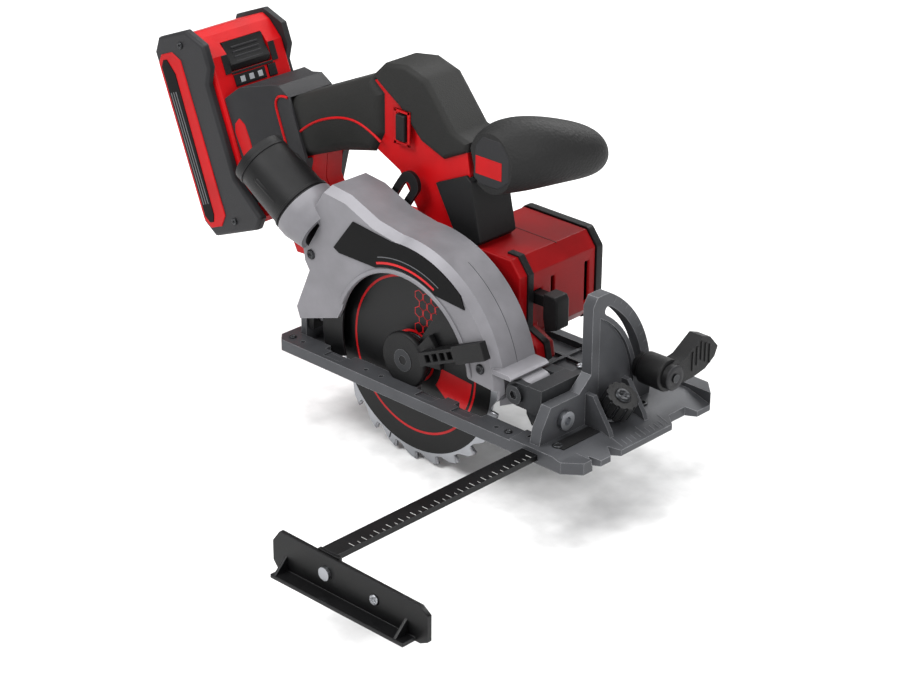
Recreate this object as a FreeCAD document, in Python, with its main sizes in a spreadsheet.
"""Cordless circular saw: a parametric FreeCAD document, one STEP file per sub-part.

Frame: +X is the cutting direction, +Y the motor side, +Z up. The origin lies on the sole's
underside, in the middle of the base plate. Lengths are in millimetres, angles in degrees.
"""
import FreeCAD, Part
import math
import os
import re

os.makedirs("parts", exist_ok=True)
doc = FreeCAD.newDocument("circular_saw")
V = FreeCAD.Vector

DIMS = {
    # base plate and guide
    "sole_rear": -129, "sole_front": 137, "sole_half": 71, "sole_thick": 3.2, "rim_top": 8,
    "rail_inner": -55, "slot_rear": -98, "slot_front": 91, "slot_left": -12, "block_rear": 84,
    "bar_rear": 94, "bar_width": 13, "bar_thick": 3.8, "bar_low": 2.3,
    "fence_y": -240,
    # bevel and depth
    "bevel_y": -45, "bevel_z": 20.5, "quadrant_x": 97, "quadrant_thick": 8, "quadrant_rad": 83,
    "clamp_rad": 72.4, "clamp_angle": 10.5, "bevel_range": 45, "depth_x": 75, "depth_z": 31.5,
    "depth_rad": 157,
    # blade, guards and drive
    "blade_rad": 75, "blade_x": -20, "blade_y": -48, "blade_z": 23.5, "blade_thick": 1.8,
    "teeth": 24, "arbor_rad": 8, "guard_rad": 85, "guard_wall": 2.5, "guard_right": -60,
    "guard_left": -25, "slope_out": 5, "slope_in": 4, "window_rad": 58.5, "lower_rad": 79.5,
    "lower_from": 27.5, "lower_to": 197.5, "near_face": -54.7, "far_face": -42, "nose_rad": 13.8,
    "drive_angle": 58.06, "stage_two": 25, "stage_one": 20,
    "port_x": -120, "port_z": 98, "port_y": -50.5, "port_tilt": 31.8, "port_splay": 3,
    "port_bore": 16.5,
    # housings, handles and battery
    "motor_rad": 24.5, "housing_right": -16.5, "housing_left": 56, "shell_half": 14,
    "grip_half": 18, "cover_half": 17, "foot_half": 31, "battery_lean": 21.8,
    "case_half": 33, "bumper_half": 39,
}

sheet = doc.addObject("Spreadsheet::Sheet", "dims")
for row, (alias, number) in enumerate(DIMS.items(), start=1):
    sheet.set(f"A{row}", alias)
    sheet.set(f"B{row}", str(number))
    sheet.setAlias(f"B{row}", alias)
doc.recompute()

WORDS = re.compile(r"\b(" + "|".join(sorted(DIMS, key=len, reverse=True)) + r")\b")
ROLES = {"X": "YZ_Plane", "Y": "XZ_Plane", "Z": "XY_Plane"}
ALONG = {"X": V(1, 0, 0), "Y": V(0, 1, 0), "Z": V(0, 0, 1)}
sub_parts = []


def size(alias):
    """The number in a cell of the sheet."""
    return float(sheet.get(alias))


def put(item, prop, given):
    """Set a property to a number, or bind it to a formula in the sheet's words."""
    if isinstance(given, str):
        item.setExpression(prop, WORDS.sub(r"dims.\1", given))
    elif prop.startswith("Placement.Base."):
        setattr(item.Placement.Base, prop[-1], given)
    else:
        setattr(item, prop, given)


def place(item, corner, turn=None):
    """Put an object at a corner whose coordinates are numbers or formulas."""
    numbers = [0 if isinstance(c, str) else c for c in corner]
    item.Placement = FreeCAD.Placement(V(*numbers), turn or FreeCAD.Rotation())
    for axis, given in zip("xyz", corner):
        if isinstance(given, str):
            put(item, "Placement.Base." + axis, given)
    return item


def box(name, low, high):
    """A box primitive from its low corner to its high corner."""
    block = doc.addObject("Part::Box", name)
    for prop, a, b in zip(("Length", "Width", "Height"), low, high):
        put(block, prop, f"({b}) - ({a})")
    return place(block, low)


def rod(name, radius, start, length, way="Y"):
    """A cylinder primitive from a start point along a named axis or a direction."""
    post = doc.addObject("Part::Cylinder", name)
    put(post, "Radius", radius)
    put(post, "Height", length)
    heading = ALONG[way] if isinstance(way, str) else V(*way)
    return place(post, start, FreeCAD.Rotation(V(0, 0, 1), heading))


def cone(name, radius_one, radius_two, start, length, heading):
    """A cone primitive from a start point along a direction."""
    taper = doc.addObject("Part::Cone", name)
    taper.Radius1 = radius_one
    taper.Radius2 = radius_two
    taper.Height = length
    return place(taper, start, FreeCAD.Rotation(V(0, 0, 1), V(*heading)))


def polar(cx, cy, radius, angle):
    """The point at a radius and an angle about a centre."""
    turn = math.radians(angle)
    return (cx + radius * math.cos(turn), cy + radius * math.sin(turn))


def draw(sketch, path):
    """Draw a closed outline of corner points and ("arc", cx, cy, r, from, to) stretches."""
    ends = []
    for step in path:
        if step[0] == "arc":
            kind, cx, cy, radius, start, stop = step
            low, high = sorted((math.radians(start), math.radians(stop)))
            circle = Part.Circle(V(cx, cy, 0), V(0, 0, 1), radius)
            sketch.addGeometry(Part.ArcOfCircle(circle, low, high), False)
            ends.append((polar(cx, cy, radius, start), polar(cx, cy, radius, stop)))
        else:
            ends.append((step, step))
    for here, following in zip(ends, ends[1:] + ends[:1]):
        if math.dist(here[1], following[0]) > 1e-4:
            line = Part.LineSegment(V(*here[1], 0), V(*following[0], 0))
            sketch.addGeometry(line, False)


def sketch_on(body, name, axis, level):
    """A sketch on one of the body's own planes, moved along its axis to a level."""
    sketch = body.newObject("Sketcher::SketchObject", name)
    plane = next(f for f in body.Origin.OriginFeatures if f.Role == ROLES[axis])
    sketch.AttachmentSupport = (plane, [""])
    sketch.MapMode = "FlatFace"
    sign = "-" if axis == "Y" else ""
    put(sketch, "AttachmentOffset.Base.z", f"{sign}({level})")
    return sketch


def prism(name, axis, low, high, path):
    """A body padded from an outline: (Y, Z) along X, (X, Z) along Y or (X, Y) along Z."""
    body = doc.addObject("PartDesign::Body", name)
    sketch = sketch_on(body, name + "_outline", axis, high if axis == "Y" else low)
    draw(sketch, path)
    pad = body.newObject("PartDesign::Pad", name + "_pad")
    pad.Profile = sketch
    put(pad, "Length", f"({high}) - ({low})")
    return body


def loft(name, sections):
    """A body lofted along Y through ellipses (y, x, z, half_x, half_z)."""
    body = doc.addObject("PartDesign::Body", name)
    rings = []
    for number, (y, x, z, half_x, half_z) in enumerate(sections):
        ring = sketch_on(body, f"{name}_ring_{number}", "Y", y)
        tall = half_z > half_x
        major = V(x, z + half_z, 0) if tall else V(x + half_x, z, 0)
        minor = V(x - half_x, z, 0) if tall else V(x, z + half_z, 0)
        ring.addGeometry(Part.Ellipse(major, minor, V(x, z, 0)), False)
        rings.append(ring)
    skin = body.newObject("PartDesign::AdditiveLoft", name + "_loft")
    skin.Profile = rings[0]
    skin.Sections = rings[1:]
    return body


def fuse(name, *shapes):
    """Join several objects."""
    whole = doc.addObject("Part::MultiFuse", name)
    whole.Shapes = list(shapes)
    return whole


def cut(name, base, *tools):
    """Take one or more tools out of a base object."""
    result = doc.addObject("Part::Cut", name)
    result.Base = base
    result.Tool = tools[0] if len(tools) == 1 else fuse(name + "_tools", *tools)
    return result


def both(name, *shapes):
    """What several objects have in common."""
    shared = doc.addObject("Part::MultiCommon", name)
    shared.Shapes = list(shapes)
    return shared


def sub_part(item, label):
    """Name an object as a finished sub-part."""
    item.Label = label
    sub_parts.append(item)
    return item


def round_edges(name, item, radius, wanted):
    """Round the edges of an object that a rule picks."""
    doc.recompute()
    picked = [n for n, edge in enumerate(item.Shape.Edges, start=1) if wanted(edge)]
    soft = doc.addObject("Part::Fillet", name)
    soft.Base = item
    soft.Edges = [(n, radius, radius) for n in picked]
    return soft


def slope_edges(name, item, reach, wanted):
    """Chamfer the edges of an object that a rule picks."""
    doc.recompute()
    picked = [n for n, edge in enumerate(item.Shape.Edges, start=1) if wanted(edge)]
    slope = doc.addObject("Part::Chamfer", name)
    slope.Base = item
    slope.Edges = [(n, reach, reach) for n in picked]
    return slope


def flat_at(axis, level):
    """A rule that picks the edges lying in the plane axis = level."""
    index = "XYZ".index(axis)

    def wanted(edge):
        return all(abs(tuple(v.Point)[index] - level) < 0.01 for v in edge.Vertexes)

    return wanted


# ---------------------------------------------------------------- shared places
HX, HZ = size("blade_x"), size("blade_z")
DX, DZ = size("depth_x"), size("depth_z")
BY, BZ = size("bevel_y"), size("bevel_z")
MX, MZ = polar(HX, HZ, size("stage_one") + size("stage_two"), size("drive_angle"))
IX, IZ = polar(HX, HZ, size("stage_two"), size("drive_angle"))
CY, CZ = polar(BY, BZ, size("clamp_rad"), size("clamp_angle"))
KNOB = (110, -9, 9.5)
KNOB_WAY = (math.sin(math.radians(30)), 0, math.cos(math.radians(30)))
PORT_LIFT, PORT_SPLAY = math.radians(size("port_tilt")), math.radians(size("port_splay"))
PORT_WAY = (-math.cos(PORT_LIFT) * math.cos(PORT_SPLAY), -math.sin(PORT_SPLAY),
            math.sin(PORT_LIFT) * math.cos(PORT_SPLAY))


def knob_at(reach):
    """A point on the guide clamp's tilted axis."""
    return tuple(p + reach * w for p, w in zip(KNOB, KNOB_WAY))


def port_at(reach):
    """A point on the dust port's axis."""
    start = (size("port_x"), size("port_y"), size("port_z"))
    return tuple(p + reach * w for p, w in zip(start, PORT_WAY))


# ---------------------------------------------------------------- base plate
plan = prism("base_plan", "Z", 0, 14, [
    (-129, 65), (-129, -65), (-123, -71), (126, -71), (137, -62), (137, -54), (130, -50),
    (137, -46), (137, -37), (130, -32), (137, -27), (137, 22), (130, 27), (130, 43), (137, 47),
    (137, 60), (126, 71), (-123, 71)])
sheet_plate = box("plate", ("sole_rear", "-sole_half", 0), ("sole_front", "sole_half", "sole_thick"))
rail = box("rail", ("sole_rear", "-sole_half", 0), ("sole_front", "rail_inner", "rim_top"))
left_rim = box("left_rim", ("sole_rear", "sole_half - 7", 0), ("sole_front", "sole_half", "rim_top"))
rear_rim = box("rear_rim", ("sole_rear", "-sole_half", 0), ("sole_rear + 7", "sole_half", "rim_top"))
slot_rim = box("slot_rim", ("sole_rear", "slot_left", 0), ("block_rear", "slot_left + 3.5", "rim_top"))
wing = box("wing", (104, "sole_half - 11", 0), ("sole_front", "sole_half", 12.5))
front_block = prism("front_block", "Y", "-sole_half", "sole_half", [
    (84, 0), (137, 0), (137, 4), (119, 9.5), (84, 9.5)])
ribs = [box(f"rib_{n}", ("sole_rear", y, 0), ("block_rear", y + 2.5, 5.5))
        for n, y in enumerate((10, 28, 46))]
cross = [box(f"cross_{n}", (x, "slot_left", 0), (x + 2.5, "sole_half", 5.5))
         for n, x in enumerate((-84, -30, 24))]
base_solid = both("base_solid", plan, fuse("base_raw", sheet_plate, rail, left_rim, rear_rim,
                                           slot_rim, wing, front_block, *ribs, *cross))
reliefs = [box(f"relief_{n}", (x, "rail_inner - 5", 4.2), (x + 24, "rail_inner + 1", 10))
           for n, x in enumerate((-92, -8, 26))]
top_reliefs = [box(f"dip_{n}", (x, -67.5, 6.4), (x + 15, "rail_inner - 5", 10))
               for n, x in enumerate((-86, -2, 30))]
rail_holes = [rod(f"rail_hole_{n}", 1.6, (x, -63.5, 2.5), 8, "Z")
              for n, x in enumerate((-110, -50, -36, 66))]
base_plate = cut("base_cut", base_solid,
                 box("slot", ("slot_rear", "rail_inner", -1), ("slot_front", "slot_left", 20)),
                 box("channel", ("bar_rear - 0.4", -90, "bar_low - 0.3"),
                     ("bar_rear + bar_width + 0.4", 90, "bar_low + bar_thick + 0.3")),
                 box("bracket_dip", ("slot_front - 1", -62, 8), ("quadrant_x", -20, 12)),
                 rod("clamp_hole", 3.0, knob_at(-5), 20, KNOB_WAY),
                 *reliefs, *top_reliefs, *rail_holes)
sub_part(base_plate, "base_plate")
sub_part(box("tray", (109, -60, 9.5), (118.5, -26, 10.3)), "sight_insert")

# bevel quadrant: a casting in the YZ plane with the clamp's arc slot
quarter = prism("quadrant_body", "X", "quadrant_x", "quadrant_x + quadrant_thick", [
    (-67, 9.5), (-65, 19), (-57, 32.5), (-31, 32.5), (-20, 42), (-20, 87), (-16, 93.1),
    ("arc", BY, BZ, size("quadrant_rad"), 61, -7.6)])
web = prism("quadrant_web", "X", "quadrant_x + quadrant_thick - 2.5",
            "quadrant_x + quadrant_thick + 1", [
                (-13, 14), ("arc", BY, BZ, 66, 61, -5.5)])
SLOT_END = size("clamp_angle") + size("bevel_range") + 1.5
arc_slot = prism("arc_slot", "X", "quadrant_x - 1", "quadrant_x + quadrant_thick + 1", [
    ("arc", BY, BZ, size("clamp_rad") + 3.1, 9.5, SLOT_END),
    ("arc", BY, BZ, size("clamp_rad") - 3.1, SLOT_END, 9.5)])
slot_ends = [rod(f"slot_end_{n}", 3.1, ("quadrant_x - 1", *polar(BY, BZ, size("clamp_rad"), a)),
                 "quadrant_thick + 2", "X") for n, a in enumerate((9.5, SLOT_END))]
gussets = [prism(f"gusset_{n}", "Y", y, y + 3.5, [
    (104, 9.5), (119, 9.5), (126, 7.4), (124, 12), (111, 31), (104, 31)])
    for n, y in enumerate((-25, 8))]
quadrant = cut("quadrant_cut", fuse("quadrant_raw", quarter, *gussets), web, arc_slot, *slot_ends,
               rod("pivot_hole", 4.06, (90, "bevel_y", "bevel_z"), 30, "X"))
sub_part(quadrant, "bevel_quadrant")

# rear bracket carries the second bevel pivot
hook = prism("rear_plate", "X", -121, -116, [
    (-54.5, 3.2), (-54.5, 24), (-50, 30), (-38, 30), (-26, 12), (-26, 3.2)])
sub_part(cut("rear_cut", hook, rod("rear_hole", 3.06, (-125, "bevel_y", "bevel_z"), 20, "X")),
         "rear_bracket")

# ---------------------------------------------------------------- tilting carriage
wall = prism("bracket_wall", "X", 84, "quadrant_x - 1", [
    (-56, 40), (-56, 21), (-51, 11), (-21, 11), (-21, 40)])
arm = prism("bracket_arm", "X", 90, "quadrant_x - 1", [
    (-22, 24), (-22, 40), (18, 42), (30, 41), (34, 36), (34, 30), (28, 26)])
ears = []
for side, (low, high) in enumerate(((-56, -51), (-29.5, -21))):
    ears.append(rod(f"ear_{side}", 8, (DX, low, DZ), high - low))
    ears.append(box(f"ear_web_{side}", (DX, low, 23.5), (85, high, 39.5)))
bracket = cut("bracket_cut", fuse("bracket_raw", wall, arm, *ears),
              rod("bevel_seat", 4, (80, "bevel_y", "bevel_z"), 30, "X"),
              rod("clamp_seat", 2.8, (86, CY, CZ), 20, "X"),
              rod("depth_seat", 3.5, ("depth_x", -60, "depth_z"), 45))
sub_part(bracket, "front_bracket")

front_bolt = cut("front_bolt", fuse("front_bolt_raw",
                 rod("front_shank", 4, (86, "bevel_y", "bevel_z"), 19.4, "X"),
                 rod("front_head", 6.2, (105.3, "bevel_y", "bevel_z"), 3.2, "X")),
                 prism("front_hex", "X", 106.3, 110, [polar(BY, BZ, 3, 60 * n) for n in range(6)]))
rear_bolt = fuse("rear_bolt",
                 rod("rear_shank", 3, (-121.4, "bevel_y", "bevel_z"), 12, "X"),
                 rod("rear_head", 5, (-124.6, "bevel_y", "bevel_z"), 3.3, "X"))
sub_part(fuse("pivot_bolts", front_bolt, rear_bolt), "bevel_pivot_bolts")

ARC_IN, ARC_OUT = size("depth_rad") - 8.5, size("depth_rad") + 8.5
strip = prism("depth_strip", "Y", -23.5, -20.5, [
    ("arc", DX, DZ, ARC_OUT, 184, 143), ("arc", DX, DZ, ARC_IN, 143, 184)])
strip_slot = prism("strip_slot", "Y", -24, -20, [
    ("arc", DX, DZ, size("depth_rad") + 3.3, 179, 144),
    ("arc", DX, DZ, size("depth_rad") - 3.3, 144, 179)])
END = polar(DX, DZ, size("depth_rad"), 143)
strip_end = rod("strip_end", 8.5, (END[0], -23.5, END[1]), 3)
STOP_AT = polar(DX, DZ, size("depth_rad"), 144)
slot_stop = rod("slot_stop", 3.3, (STOP_AT[0], -24, STOP_AT[1]), 4)
link = box("depth_link", (-115.5, -23.5, 14), (-76, -20.5, 25))
lug = box("depth_lug", (-115.5, -53, 13.5), (-110.5, -20.5, 27.5))
sub_part(cut("depth_cut", fuse("depth_raw", strip, strip_end, link, lug), strip_slot, slot_stop,
             rod("lug_hole", 3, (-117, "bevel_y", "bevel_z"), 10, "X")), "depth_arm")

sub_part(fuse("clamp_bolt", rod("clamp_shank", 2.8, (85.5, CY, CZ), 50, "X"),
              rod("clamp_head", 5.5, (84, CY, CZ), 6, "X")), "bevel_clamp_bolt")
hub = rod("lever_hub", 8.2, (105.6, CY, CZ), 28.4, "X")
paddle = prism("lever_paddle", "X", 122, 133, [
    (26, 41.5), (38, 43.5), (54, 53), (62, 50), (70, 41), (67, 34.5), (58, 29), (46, 27), (26, 27)])
sub_part(cut("lever_cut", fuse("lever_raw", hub, paddle),
             rod("lever_bore", 2.87, (104, CY, CZ), 40, "X")), "bevel_lever")

# ---------------------------------------------------------------- parallel guide
bar = fuse("bar_raw", box("bar", ("bar_rear", "fence_y + 4", "bar_low"),
                          ("bar_rear + bar_width", 42, "bar_low + bar_thick")),
           box("bar_bend", ("bar_rear", "fence_y", -15),
               ("bar_rear + bar_width", "fence_y + 4", "bar_low + bar_thick")))
rivet_hole = rod("rivet_hole", 2.5, (100.5, "fence_y - 8", -7), 20)
sub_part(cut("bar_cut", bar, rivet_hole), "guide_bar")
plate = prism("fence_plate", "Y", "fence_y - 3", "fence_y", [
    (62, 5), (176, 3), (182, -1), (182, -18), (176, -21), (60, -21), (56, -16), (56, -3)])
flange = box("fence_flange", (64, "fence_y - 13", -21), (172, "fence_y - 2", -18.5))
sub_part(cut("fence_cut", fuse("fence_raw", plate, flange), rivet_hole), "guide_fence")
sub_part(fuse("rivet", rod("rivet_shank", 2.5, (100.5, "fence_y - 3", -7), 7),
              rod("rivet_head", 4.2, (100.5, "fence_y - 5", -7), 2)), "fence_rivet")

grip_wheel = rod("wheel", 10.8, knob_at(10.5), 13, KNOB_WAY)
FLUTES = 12
side_way = V(0, 1, 0)
lift_way = V(*KNOB_WAY).cross(side_way)
flutes = []
for n in range(FLUTES):
    turn = 2 * math.pi * n / FLUTES
    spot = V(*knob_at(9)) + side_way * 11.4 * math.cos(turn) + lift_way * 11.4 * math.sin(turn)
    flutes.append(rod(f"flute_{n}", 1.5, tuple(spot), 16, KNOB_WAY))
sub_part(cut("knob_cut", grip_wheel, rod("knob_bore", 2.95, knob_at(9), 20, KNOB_WAY), *flutes),
         "guide_clamp_knob")
sub_part(fuse("clamp_screw", rod("screw_shank", 2.95, knob_at(-3.2), 24, KNOB_WAY),
              rod("screw_collar", 4.6, knob_at(6.5), 3.5, KNOB_WAY)), "guide_clamp_screw")

# ---------------------------------------------------------------- upper guard
R = size("guard_rad")
shell = prism("guard_shell", "Y", "guard_right", "guard_left", [
    ("arc", HX, HZ, R, 3, 92), (-45, 112), (-70, 122), (-88, 124), (-113, 86),
    (-110, 66), (-106, 60), (-119, 30), (-116, 22), (-90, 12), (50, 12), (60, 20)])
inside = [(62, -20), ("arc", HX, HZ, R - 4.2, -8, 92), (-45, 108.5), (-69, 118), (-86, 120),
          (-109, 85), (-106, 67), (-102, 60), (-112, 30), (-112, -20)]
shell = slope_edges("guard_slope", shell, size("slope_out"), lambda e: flat_at("Y", -60)(e) and all(
    v.Point.z > 27 and (v.Point.x > -60 or v.Point.z > 100) for v in e.Vertexes))
cavity = slope_edges("cavity_slope", prism("guard_cavity", "Y", "guard_right + guard_wall", -41, inside),
                     size("slope_in"), lambda e: flat_at("Y", -57.5)(e) and all(
    v.Point.z > 27 and (v.Point.x > -60 or v.Point.z > 100) for v in e.Vertexes))
pocket = prism("guard_pocket", "Y", -38.5, -24, inside)
window = prism("guard_window", "Y", -61, "guard_right + guard_wall", [
    (70, 28.3), ("arc", HX, HZ, size("window_rad"), 7, 162), (-80, 34), (-116, 22),
    (-121, 20), (-121, 0), (70, 0)])
collar = fuse("collar", cone("collar_cone", 18.5, 21.8, port_at(-20), 14, PORT_WAY),
              rod("collar_ring", 21.8, port_at(-6), 6, PORT_WAY))
lug_front = prism("front_lug", "Y", -50, -30.5, [
    (56, 14), (75, 23.5), ("arc", DX, DZ, 8, -90, 90), (56, 44)])
cap = prism("front_cap", "Y", "guard_right", "guard_left", [
    (58, 44), (72, 43.8), (74.5, 42), (74, 40.6), (58, 40.6)])
guard = cut("guard_cut", fuse("guard_raw", cut("guard_hollow", shell, cavity, pocket, window),
                              collar, lug_front, cap),
            rod("port_bore", "port_bore - 1.5", port_at(-22), 40, PORT_WAY),
            rod("lug_bore", 3.56, ("depth_x", -62, "depth_z"), 50),
            rod("nose_hole", 14.0, ("blade_x", -42, "blade_z"), 5),
            box("rear_bay", (-125, "guard_right + guard_wall", 8), (-108.5, -24, 32)))
sub_part(guard, "upper_guard")
sub_part(prism("badge", "Y", "guard_right - 0.8", "guard_right", [
    (-82, 84), (-77, 81.5), ("arc", HX, HZ, 62.5, 112, 62), (35, 76.8),
    ("arc", HX, HZ, 80.5, 50, 97), (-64, 107)]), "guard_badge")
sub_part(cut("pivot_bolt_cut", fuse("pivot_bolt_raw",
             rod("depth_shank", 3.5, ("depth_x", -56, "depth_z"), 36),
             rod("depth_head", 6.2, ("depth_x", -58.5, "depth_z"), 2.5)),
             prism("depth_hex", "Y", -60, -57, [polar(DX, DZ, 3, 60 * n) for n in range(6)])),
         "depth_pivot_bolt")

tube = fuse("tube_raw", cone("tube", 20.9, 18.7, port_at(0), 46, PORT_WAY),
            rod("tube_rim", 19.4, port_at(43), 5, PORT_WAY))
sub_part(cut("tube_cut", tube, rod("tube_bore", "port_bore", port_at(-1), 60, PORT_WAY)),
         "dust_port")


def tooth_ring(teeth, root, tip, lead):
    """A saw blade's edge: a raked face, a gullet and a long back for each tooth."""
    pitch = 360 / teeth
    edge = []
    for n in range(int(teeth)):
        start = n * pitch + lead
        edge.append(polar(HX, HZ, tip, start))
        edge.append(polar(HX, HZ, root, start + 0.06 * pitch))
        edge.append(polar(HX, HZ, root, start + 0.3 * pitch))
        edge.append(polar(HX, HZ, tip - 1.2, start + 0.72 * pitch))
    return edge


disc = prism("blade_disc", "Y", "blade_y - blade_thick / 2", "blade_y + blade_thick / 2",
             tooth_ring(size("teeth"), size("blade_rad") - 5.5, size("blade_rad"), 0))
relief_slots = [prism(f"heat_slot_{n}", "Y", -52, -44, [
    polar(HX, HZ, 58, a - 0.6), polar(HX, HZ, 72, a - 0.4), polar(HX, HZ, 72, a + 0.4),
    polar(HX, HZ, 58, a + 0.6)]) for n, a in enumerate((71, 161, 251, 341))]
relief_eyes = [rod(f"heat_eye_{n}", 1.5, (polar(HX, HZ, 57.5, a)[0], -52, polar(HX, HZ, 57.5, a)[1]), 8)
               for n, a in enumerate((71, 161, 251, 341))]
sub_part(cut("blade_cut", disc, rod("blade_bore", "arbor_rad", ("blade_x", -52, "blade_z"), 8),
             *relief_slots, *relief_eyes), "blade")

# ---------------------------------------------------------------- lower guard
L = size("lower_rad")
START, STOP = size("lower_from"), size("lower_to")
rim = prism("lower_rim", "Y", "near_face", "far_face", [
    ("arc", HX, HZ, L, START, STOP), ("arc", HX, HZ, L - 2, STOP, START)])
near_flank = prism("near_flank", "Y", "near_face", "near_face + 1.3", [
    ("arc", HX, HZ, L, START, STOP), ("arc", HX, HZ, 61, STOP, START)])
near_web = prism("near_web", "Y", "near_face", "near_face + 1.3", [
    ("arc", HX, HZ, L, 20, 57), ("arc", HX, HZ, 18.5, 57, 20)])
far_web = prism("far_web", "Y", "far_face - 1.5", "far_face", [
    ("arc", HX, HZ, L, START, STOP), ("arc", HX, HZ, 16, STOP, START)])
far_hub = rod("far_hub", 18, ("blade_x", -43.5, "blade_z"), 1.5)
front_rim = prism("front_rim", "Y", "near_face", "far_face", [
    ("arc", HX, HZ, L, 20, START), ("arc", HX, HZ, L - 2, START, 20)])
lower = cut("lower_cut", fuse("lower_raw", rim, near_flank, near_web, far_web, far_hub, front_rim),
            rod("lower_bore", "nose_rad + 0.06", ("blade_x", -46, "blade_z"), 6))
sub_part(lower, "lower_guard")
LEVER = 24
turn_lever = FreeCAD.Rotation(V(0, 1, 0), -LEVER)
stem = box("stem", (0, 0, 0), (35, 10.8, 9))
stem.Placement = FreeCAD.Placement(V(HX, -65.5, HZ), turn_lever).multiply(
    FreeCAD.Placement(V(22, 0, -4.5), FreeCAD.Rotation()))
block = box("lever_block", (0, 0, 0), (27, 5.5, 12))
block.Placement = FreeCAD.Placement(V(HX, -67, HZ), turn_lever).multiply(
    FreeCAD.Placement(V(56.5, 0, -6), FreeCAD.Rotation()))
grooves = []
for n in range(4):
    groove = box(f"lever_groove_{n}", (0, 0, 0), (4.6, 4, 5))
    groove.Placement = FreeCAD.Placement(V(HX, -66, HZ), turn_lever).multiply(
        FreeCAD.Placement(V(28 + 7 * n, 0, -2.5), FreeCAD.Rotation()))
    grooves.append(groove)
sub_part(cut("guard_lever_cut", fuse("guard_lever_raw", stem, block), *grooves), "guard_lever")

# ---------------------------------------------------------------- spindle and gears
spindle = cut("spindle_cut", fuse("spindle_raw",
              rod("spindle_shaft", 5, ("blade_x", -44.1, "blade_z"), 24),
              rod("spindle_nose", "arbor_rad - 0.05", ("blade_x", -48.8, "blade_z"), 4.8)),
              rod("spindle_thread", 3, ("blade_x", -50, "blade_z"), 14))
sub_part(spindle, "spindle")
sub_part(cut("inner_ring", rod("inner_disc", 13, ("blade_x", -47.1, "blade_z"), 3),
             rod("inner_hole", "arbor_rad - 0.05", ("blade_x", -50, "blade_z"), 8)), "inner_flange")
sub_part(cut("outer_ring", rod("outer_disc", 15, ("blade_x", -51.4, "blade_z"), 2.5),
             rod("outer_hole", 3.05, ("blade_x", -54, "blade_z"), 8)), "outer_flange")
bolt = fuse("arbor_raw", rod("arbor_shank", 3, ("blade_x", -52, "blade_z"), 14),
            rod("arbor_washer", 10, ("blade_x", -53.6, "blade_z"), 2.2),
            rod("arbor_head", 7.6, ("blade_x", -60, "blade_z"), 7))
sub_part(cut("arbor_cut", bolt,
             prism("arbor_hex", "Y", -61, -56, [polar(HX, HZ, 3.4, 60 * n) for n in range(6)])),
         "arbor_bolt")


def gear(name, teeth, module, centre, y_low, width, phase):
    """A spur gear blank with straight-flanked teeth and backlash, as one prism."""
    pitch_rad = teeth * module / 2
    step = 360 / teeth
    edge = []
    for n in range(teeth):
        middle = n * step + phase
        for share, radius in ((-0.34, pitch_rad - 1.25 * module), (-0.205, pitch_rad),
                              (-0.09, pitch_rad + 0.9 * module), (0.09, pitch_rad + 0.9 * module),
                              (0.205, pitch_rad), (0.34, pitch_rad - 1.25 * module)):
            edge.append(polar(*centre, radius, middle + share * step))
    return prism(name, "Y", y_low, y_low + width, edge)


AXIS = size("drive_angle")
sub_part(cut("drive_cut", gear("drive_teeth", 26, 1.25, (HX, HZ), -36, 7, AXIS),
             rod("drive_bore", 5, ("blade_x", -40, "blade_z"), 20)), "drive_gear")
back = AXIS + 180
idler = fuse("idler_raw", gear("idler_small", 14, 1.25, (IX, IZ), -36, 7, back + 180 / 14),
             gear("idler_large", 30, 1.0, (IX, IZ), -27.5, 5, AXIS),
             rod("idler_shaft", 3, (IX, -37.8, IZ), 17.4), rod("idler_neck", 6, (IX, -29, IZ), 2))
sub_part(idler, "idler_gear")
sub_part(cut("pinion_cut", gear("pinion_teeth", 10, 1.0, (MX, MZ), -28, 6, back + 18),
             rod("pinion_bore", 2.5, (MX, -30, MZ), 10)), "motor_pinion")

GEARBOX = [(HX - 20, HZ - 3), ("arc", HX, HZ, 20, 190, 340), (IX + 16, IZ - 12), (MX + 14, MZ - 4),
           ("arc", MX, MZ, 14, 0, 150), (HX - 17, HZ + 18)]
GEARBOX_IN = [(HX - 18, HZ), ("arc", HX, HZ, 18, 190, 340), (IX + 17.4 - 4, IZ - 13.5),
              (MX + 12, MZ - 3), ("arc", MX, MZ, 12, 0, 150), (HX - 14, HZ + 17)]
outer = fuse("gearbox_outer", prism("gearbox_body", "Y", -38.4, -20, GEARBOX),
             rod("gearbox_bulge", 18.6, (IX, -38.4, IZ), 18.4),
             rod("gearbox_nose", "nose_rad", ("blade_x", -43.7, "blade_z"), 7))
hollow = fuse("gearbox_hollow", prism("gearbox_room", "Y", -36.8, -19, GEARBOX_IN),
              rod("gearbox_room_two", 16.8, (IX, -36.8, IZ), 20))
sub_part(cut("gearbox_cut", outer, hollow,
             rod("nose_bore", 10.5, ("blade_x", -42.5, "blade_z"), 8),
             rod("nose_lip", 6, ("blade_x", -45, "blade_z"), 5),
             rod("idler_seat", 3.05, (IX, -38.2, IZ), 3)), "gear_housing")
COVER = fuse("cover_outer", prism("cover_body", "Y", -20, "housing_right", GEARBOX),
             rod("cover_bulge", 18.6, (IX, -20, IZ), 3.5))
sub_part(cut("cover_cut", COVER, rod("cover_shaft", 4, (MX, -22, MZ), 8)), "gear_cover")


def bearing(name, centre, y_low, width, inner, outer_rad):
    """One ball bearing as a plain ring."""
    return cut(name, rod(name + "_out", outer_rad, (centre[0], y_low, centre[1]), width),
               rod(name + "_in", inner, (centre[0], y_low - 1, centre[1]), width + 2))


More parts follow.
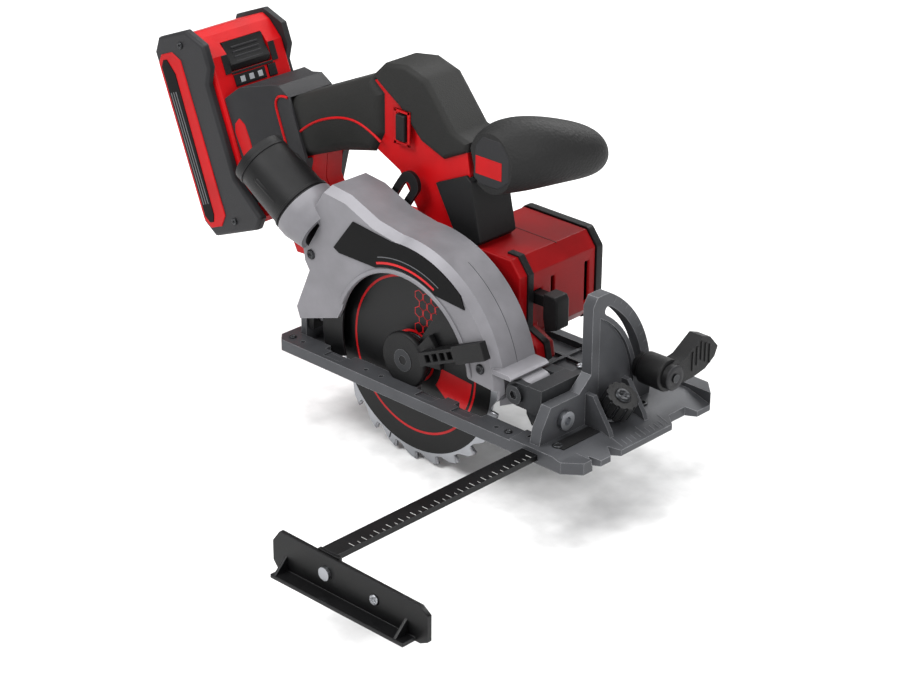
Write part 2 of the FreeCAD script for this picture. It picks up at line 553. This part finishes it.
sub_part(fuse("bearings", bearing("spindle_bearing", (HX, HZ), -42.5, 5.5, 5.03, 10.5),
              bearing("tail_bearing", (HX, HZ), -24, 3.8, 5.03, 8),
              bearing("rotor_front", (MX, MZ), -13, 5, 2.53, 8),
              bearing("rotor_rear", (MX, MZ), 48, 5, 2.53, 8)), "ball_bearings")

# ---------------------------------------------------------------- motor
HOUSING = [(-28, 41), (-20, 33), (30, 33), (41, 44), (41, 86), (33, 96), (-21, 96), (-28, 89)]
ROOM = [(-25.2, 42), (-19, 35.6), (29, 35.6), (38.4, 45), (38.4, 85), (32, 93.4), (-20, 93.4),
        (-25.2, 88)]
chin = prism("housing_chin", "Y", "housing_right", 0, [
    (24, 33), (50, 26), (58, 33), (56, 43), (41, 50), (24, 50)])
vents = [box("vent_long", (36, 46, 50), (44, 49.5, 78)), box("vent_short", (36, 13, 62), (44, 16.5, 78))]
rear_vents = [box(f"rear_vent_{n}", (-30, 14 + 7 * n, 50), (-24, 17.5 + 7 * n, 78)) for n in range(5)]
housing = cut("housing_cut", fuse("housing_raw",
              prism("housing_body", "Y", "housing_right", "housing_left", HOUSING), chin),
              prism("housing_room", "Y", "housing_right + 2.5", "housing_left + 1", ROOM),
              rod("housing_shaft", 8, (MX, -20, MZ), 8),
              box("button_way", (30, -4.6, 64.6), (42, 4.6, 73.4)), *vents, *rear_vents)
sub_part(housing, "motor_housing")
band = prism("trim_band", "Y", -10, -5, [
    (24, 97.4), (34, 97.4), (42.5, 86.6), (42.5, 50.5), (57, 44.6), (59.5, 33), (58, 33), (56, 43),
    (41, 50), (41, 86), (33, 96), (24, 96)])
sub_part(band, "housing_trim")
end_plate = prism("end_plate", "Y", "housing_left", "housing_left + 6", [
    (-29, 40.5), (-20.5, 32), (30.5, 32), (42, 43.5), (42, 86.5), (33.5, 97), (-21.5, 97), (-29, 89.5)])
end_slots = [box(f"end_slot_{n}", (-12 + 6 * n, 50, 46), (-9 + 6 * n, 70, 76)) for n in range(6)]
end_room = prism("end_room", "Y", "housing_left - 1", "housing_left + 3.5", ROOM)
sub_part(cut("end_cut", end_plate, end_room, *end_slots), "motor_end_cap")
sub_part(cut("stator_ring", rod("stator_out", "motor_rad", (MX, 0, MZ), 32),
             rod("stator_in", 15.5, (MX, -1, MZ), 40)), "stator")
sub_part(fuse("rotor_raw", rod("rotor_core", 15, (MX, 1, MZ), 30),
              rod("rotor_shaft", 2.5, (MX, -28.5, MZ), 82)), "rotor")
fan_blades = []
for n in range(9):
    vane = box(f"vane_{n}", (0, 0, 0), (13, 7, 1.2))
    turn = FreeCAD.Rotation(V(0, 1, 0), 40 * n)
    vane.Placement = FreeCAD.Placement(V(MX, 36, MZ), turn).multiply(
        FreeCAD.Placement(V(8, 0, -0.6), FreeCAD.Rotation()))
    fan_blades.append(vane)
sub_part(cut("fan_cut", fuse("fan_raw", rod("fan_disc", 22, (MX, 35, MZ), 1.6),
                             rod("fan_hub", 9, (MX, 35, MZ), 8), *fan_blades),
             rod("fan_bore", 2.5, (MX, 30, MZ), 20)), "cooling_fan")
sub_part(fuse("lock_raw", box("lock_stem", (34, -4, 65.2), (60, 4, 72.8)),
              prism("lock_lip", "Y", -7, 5, [(52, 76), (62, 76), (64, 73), (64, 54), (54, 50), (52, 60)])),
         "spindle_lock_button")

# ---------------------------------------------------------------- handle shells
SHELL = [(-172.2, 145), (-93, 182), (-78, 193), (-60, 197), (-45, 191), (-21, 163), (-8, 158),
         (2, 98), (2, 96.2), (-28.2, 96.2), (-28.2, 62), (-138, 42), (-168, 40), (-175.5, 54),
         (-166.5, 74.5), (-162, 84), (-154.3, 104.5)]
HAND = [(-150, 116), (-92, 139), (-68, 128), (-46, 98), (-58, 92), (-146, 86), (-152, 96)]
ROOM_TOP = [(-164, 140), (-96, 174), (-80, 184), (-62, 190), (-48, 185), (-28, 160), (-14, 152),
            (-6, 104), (-24, 102), (-40, 106), (-62, 136), (-92, 148), (-152, 124)]
ROOM_LOW = [(-166, 52), (-140, 48), (-34, 68), (-40, 88), (-56, 86), (-146, 78), (-160, 70)]


def shell_half(name, low, high, room_low, room_high):
    """One half of the D-handle with its hand opening and its rooms."""
    return cut(name + "_cut", prism(name, "Y", low, high, SHELL),
               prism(name + "_hand", "Y", -30, 30, HAND),
               prism(name + "_room", "Y", room_low, room_high, ROOM_TOP),
               prism(name + "_limb", "Y", max(room_low, -8), room_high, ROOM_LOW),
               box(name + "_way", (-93, -7.6, 120), (-61, 7.6, 152)),
               box(name + "_lever_way", (-135, -20, 20), (-34, -10.6, 79)),
               place(box(name + "_lock_way", (0, 0, 0), (9, 50, 19)), (-66.5, -25, 150.5)))


sub_part(shell_half("shell_right", "-shell_half", 0, -11.5, 1), "handle_shell_right")
screw_spots = [(-166, 48), (-40, 76), (-76, 188), (-14, 112), (-160, 132)]
screws = fuse("screws", *[rod(f"screw_{n}", 2.6, (x, 4, z), 9.5) for n, (x, z) in
                          enumerate(screw_spots)])
sub_part(screws, "housing_screws")
sub_part(cut("shell_left_drilled", shell_half("shell_left", 0, "shell_half", -1, 11.5), screws),
         "handle_shell_left")
core = prism("shell_core", "Y", -14, 14, SHELL)
grip_solid = prism("grip_solid", "Y", "-grip_half", "grip_half", [
    (-173, 151), (-92, 187), (-80, 178), (-80, 150), (-88, 135), (-120, 127), (-157, 112)])
grip_soft = round_edges("grip_soft", grip_solid, 8,
                        lambda e: flat_at("Y", 18)(e) or flat_at("Y", -18)(e))
sub_part(cut("grip_cut", grip_soft, core, box("grip_way", (-93, -7.6, 120), (-61, 7.6, 152))),
         "grip_overmould")
hump = prism("hump", "Y", "-cover_half", "cover_half", [
    (-90.8, 188), (-80, 198.5), (-61, 201.5), (-42, 196), (-18, 167.5), (-5, 164), (-6.5, 157),
    (-27, 147), (-47, 154), (-66, 172), (-82, 182)])
column = prism("column", "Y", "-cover_half", "cover_half", [
    (-33, 130), (-6.5, 142), (-1.5, 139), (7, 100), (3, 96.2), (-17, 102)])
hump_soft = round_edges("hump_soft", hump, 4, lambda e: flat_at("Y", 17)(e) or flat_at("Y", -17)(e))
lock_way = place(box("cover_lock_way", (0, 0, 0), (9, 50, 19)), (-66.5, -25, 150.5))
sub_part(cut("hump_cut", hump_soft, core, lock_way), "hump_cover")
sub_part(cut("column_cut", column, core), "column_panel")

knob_body = loft("aux_loft", [(-15, 13, 155, 18, 20), (-4, 15, 157, 23, 23), (16, 21, 157, 25, 23),
                              (38, 27, 154, 23, 20), (54, 31, 151, 18, 16), (63, 33, 150, 9, 8)])
sub_part(cut("aux_cut", knob_body, prism("aux_clear", "Y", -40, 40, [
    (-40, 175), (-18.5, 175), (-5, 164), (2, 139.5), (7, 100), (-40, 100)]),
    box("aux_recess", (1, -16, 146), (23, -13.5, 158))), "aux_handle")
sub_part(box("aux_badge", (1, -15.6, 146), (23, -13.5, 158)), "aux_handle_insert")

trigger_body = prism("trigger_body", "Y", -7, 7, [
    (-90, 146), (-66, 146), (-63.5, 138), (-66, 128), (-72, 125), (-82, 130), (-86, 138)])
sub_part(trigger_body, "trigger")
sub_part(place(box("lock_off_bar", (0, 0, 0), (8, 40, 18)), (-66, -20, 151)), "lock_off_button")
sub_part(box("switch_block", (-88, -8, 166), (-70, 8, 177)), "trigger_switch")
sub_part(box("controller", (-140, -7, 59), (-96, 9, 73)), "controller_board")

# depth lock: a stud through the depth arm's slot with its lever on the left
STUD = polar(DX, DZ, size("depth_rad"), 176.9)
sub_part(fuse("depth_lever_raw", rod("stud", 3, (STUD[0], -28, STUD[1]), 17),
              rod("stud_head", 5.5, (STUD[0], -29, STUD[1]), 3.2),
              rod("stud_hub", 7.5, (STUD[0], -19.8, STUD[1]), 7.8),
              prism("stud_arm", "Y", -18, -13, [
                  (STUD[0] + 2, STUD[1] + 7), (STUD[0] - 36, STUD[1] + 24),
                  (STUD[0] - 42, STUD[1] + 16), (STUD[0] - 6, STUD[1] - 4)])), "depth_lever")

# ---------------------------------------------------------------- battery
lean = FreeCAD.Placement(V(0, 0, 0), FreeCAD.Rotation(V(0, 1, 0), -size("battery_lean")))


def leaning(item):
    """Turn a piece drawn upright into the battery's leaning frame."""
    item.Placement = lean.multiply(item.Placement)
    return item


foot_side = prism("foot_side", "Y", "-foot_half", "foot_half", [
    (-149.4, 140), (-149.4, 214), (-132, 219), (-104, 214), (-97, 205), (-97, 160), (-112, 140)])
foot_plan = prism("foot_plan", "Z", 135, 225, [
    (-149.4, -31), (-134, -31), (-113, -20), (-97, -20), (-97, 20), (-113, 20), (-134, 31),
    (-149.4, 31)])
foot = leaning(both("foot", foot_side, foot_plan))
sub_part(cut("foot_cut", foot, core, grip_solid,
             leaning(box("terminal_room", (-150, -13, 160), (-141, 13, 206)))), "battery_receiver")
sub_part(leaning(box("terminals", (-148.5, -13, 162), (-141, 13, 204))), "terminal_block")
case = leaning(prism("case", "Y", "-case_half", "case_half", [
    (-197, 129), (-193, 125), (-154, 125), (-150, 129), (-150, 242), (-157, 257), (-162, 262),
    (-190, 262), (-197, 255)]))
case_soft = round_edges("case_soft", case, 2, lambda e: all(
    abs(abs(v.Point.y) - 33) < 0.01 for v in e.Vertexes))
sub_part(cut("case_cut", case_soft,
             leaning(box("cell_room", (-194, -31, 128), (-153, 31, 226))),
             leaning(box("latch_room", (-163, -18.5, 229.5), (-141, 18.5, 250.5))),
             leaning(box("button_room", (-155, 12.6, 218.6), (-141, 20.4, 227.4)))), "battery_case")
bumper_path = [(-200, 134), (-192, 122.5), (-146, 122.5), (-138, 130), (-154, 160), (-154, 226),
               (-147, 236), (-147, 252), (-162, 265), (-192, 265), (-200, 256)]
bumpers = [leaning(prism(f"bumper_{n}", "Y", low, high, bumper_path))
           for n, (low, high) in enumerate((("-bumper_half", "-case_half"), ("case_half", "bumper_half")))]
bumpers_soft = round_edges("bumpers_soft", fuse("bumpers_raw", *bumpers), 2.5,
                           lambda e: all(abs(abs(v.Point.y) - 39) < 0.01 for v in e.Vertexes))
sub_part(bumpers_soft, "battery_bumpers")
cells = [leaning(rod(f"cell_{n}", 9.1, (-184 + 19 * (n % 2), -30, 138 + 18.6 * (n // 2)), 60))
         for n in range(10)]
sub_part(fuse("cells", *cells), "battery_cells")
sub_part(leaning(box("cell_board", (-190, -28, 223.6), (-158, 28, 225.2))), "battery_board")
sub_part(leaning(prism("latch_key", "Y", -18, 18, [
    (-158, 230), (-151, 230), (-149, 234), (-152, 244), (-152, 250), (-158, 250)])), "battery_latch")
sub_part(leaning(box("led_strip", (-150, -18, 219), (-149.4, 10, 227))), "charge_display")
sub_part(leaning(box("led_button", (-153, 13, 219), (-149.2, 20, 227))), "charge_button")

# ---------------------------------------------------------------- checks and files
doc.recompute()
for item in doc.Objects:
    if "Invalid" in item.State or "Error" in item.State:
        raise RuntimeError(f"{item.Name} did not build: {item.State}")
labels = [item.Label for item in sub_parts]
if len(set(labels)) != len(labels):
    raise RuntimeError("two sub-parts share a name")
for item in sub_parts:
    if item.Shape.isNull() or not item.Shape.isValid():
        raise RuntimeError(f"{item.Label} has no valid shape")
    item.Shape.exportStep(f"parts/{item.Label}.step")
    print(item.Label, len(item.Shape.Solids), round(item.Shape.Volume))
